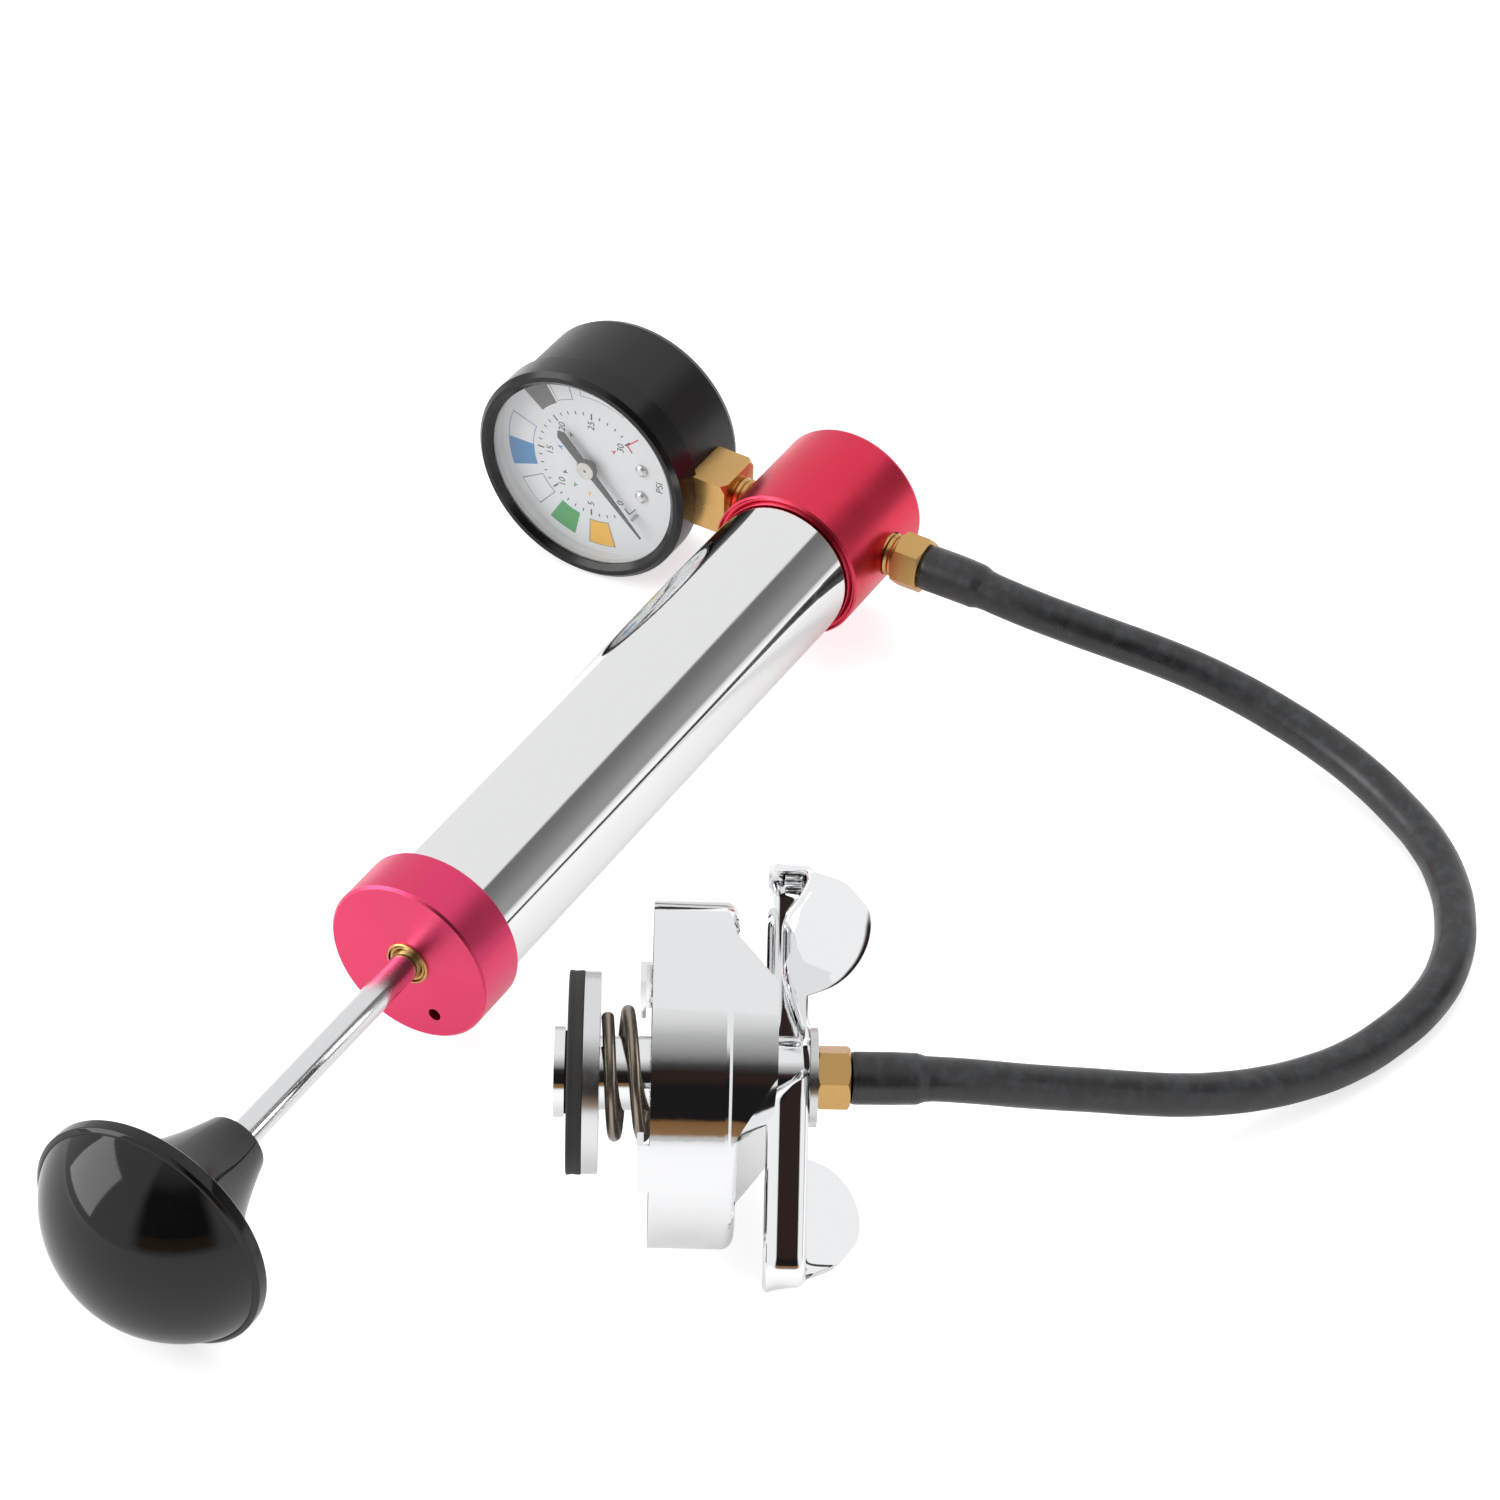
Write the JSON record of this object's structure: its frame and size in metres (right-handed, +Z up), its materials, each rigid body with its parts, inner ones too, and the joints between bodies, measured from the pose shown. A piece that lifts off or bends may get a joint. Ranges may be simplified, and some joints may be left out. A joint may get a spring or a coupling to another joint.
{
  "type": "radiator pressure tester",
  "caption": "Hand pump with a pressure gauge on its head, a rubber hose and a sprung filler-neck cap with a wing handle, for testing cooling systems.",
  "frame": {"origin": "on the surface that the tool lies on, under the middle of its box without the hose", "axes": "+X along the pump from its knob to its head, +Z up, the gauge on the +Y side"},
  "size_m": [0.2806, 0.2541, 0.0688],
  "materials": {
    "pink_anodised": "satin anodised",
    "red_anodised": "satin anodised",
    "polished_tube": "polished",
    "brass": "turned",
    "chrome": "mirror",
    "zinc_rod": "bright plated",
    "plated_steel": "satin plated",
    "spring_steel": "drawn wire",
    "seal_aluminium": "turned",
    "black_gloss": "gloss",
    "black_satin": "satin black",
    "black_rubber": "matte",
    "hose_rubber": "satin",
    "leather_cup": "oiled",
    "pale_trim": "matte",
    "lens": "clear",
    "dial": "printed white",
    "needle_grey": "satin"
  },
  "bodies": {
    "root": {"front_cap": "pink_anodised", "rod_bush": "brass", "barrel": "polished_tube", "head_gasket": "black_rubber", "head": "red_anodised", "head_collar": "red_anodised", "valve_seat": "brass", "valve_spring": "spring_steel", "gauge_stem": "brass", "gauge_case": "black_satin", "gauge_bezel": "black_satin", "lens_gasket": "pale_trim", "gauge_lens": "lens", "gauge_dial": "dial", "dial_screws": "plated_steel", "stop_pin": "plated_steel", "movement_plates": "brass", "bourdon_tube": "brass", "head_fitting": "brass", "hose": "hose_rubber", "adapter_fitting": "brass", "thrust_washer": "plated_steel", "spindle": "chrome", "spindle_flange": "chrome", "flange_washer": "black_rubber", "rubber_seal": "black_rubber", "seal_plate": "seal_aluminium", "cap_spring": "spring_steel"},
    "handle": {"knob": "black_gloss", "knob_insert": "brass", "piston_rod": "zinc_rod", "piston_plate": "plated_steel", "piston_cup": "leather_cup", "piston_washer": "plated_steel", "piston_nut": "plated_steel"},
    "valve": {"valve_disc": "black_rubber"},
    "needle": {"needle": "needle_grey", "pinion_shaft": "brass"},
    "sector": {"sector_gear": "brass"},
    "link": {"sector_link": "plated_steel"},
    "cap_slider": {"spring_seat": "plated_steel"},
    "cap": {"cap_shell": "chrome", "wing_sleeve": "plated_steel", "wing_handle": "chrome"}
  },
  "joints": [
    {"name": "handle_slide", "type": "slide", "parent": "root", "child": "handle", "axis": [1, 0, 0], "range_m": [-0.082, 0.057]},
    {"name": "valve_slide", "type": "slide", "parent": "root", "child": "valve", "axis": [1, 0, 0], "range_m": [0, 0.0015], "stiffness_N_per_m": 100, "springref_m": -0.002, "deforming": ["valve_spring"]},
    {"name": "sector_turn", "type": "hinge", "parent": "root", "child": "sector", "pos_m": [0.1135, 0.08293, 0.02663], "axis": [1, 0, 0], "range_deg": [-40, 0], "stiffness_Nm_per_rad": 0.002, "springref_deg": 17.19},
    {"name": "needle_turn", "type": "hinge", "parent": "root", "child": "needle", "pos_m": [0.1135, 0.06898, 0.0263], "axis": [1, 0, 0], "range_deg": [0, 270]},
    {"name": "link_turn", "type": "hinge", "parent": "sector", "child": "link", "pos_m": [0.1135, 0.08712, 0.02827], "axis": [1, 0, 0], "range_deg": [0, 40]},
    {"name": "cap_press", "type": "slide", "parent": "root", "child": "cap_slider", "axis": [-0.5058, 0.8621, 0.0314], "range_m": [0, 0.006], "stiffness_N_per_m": 2000, "springref_m": -0.005, "deforming": ["cap_spring"]},
    {"name": "cap_turn", "type": "hinge", "parent": "cap_slider", "child": "cap", "pos_m": [-0.0461, -0.0556, 0.0352], "axis": [0.5058, -0.8621, -0.0314], "continuous": true}
  ],
  "couplings": [
    {"joint": "needle_turn", "follows": "sector_turn", "ratio": -6.75},
    {"joint": "link_turn", "follows": "sector_turn", "ratio": -1}
  ]
}
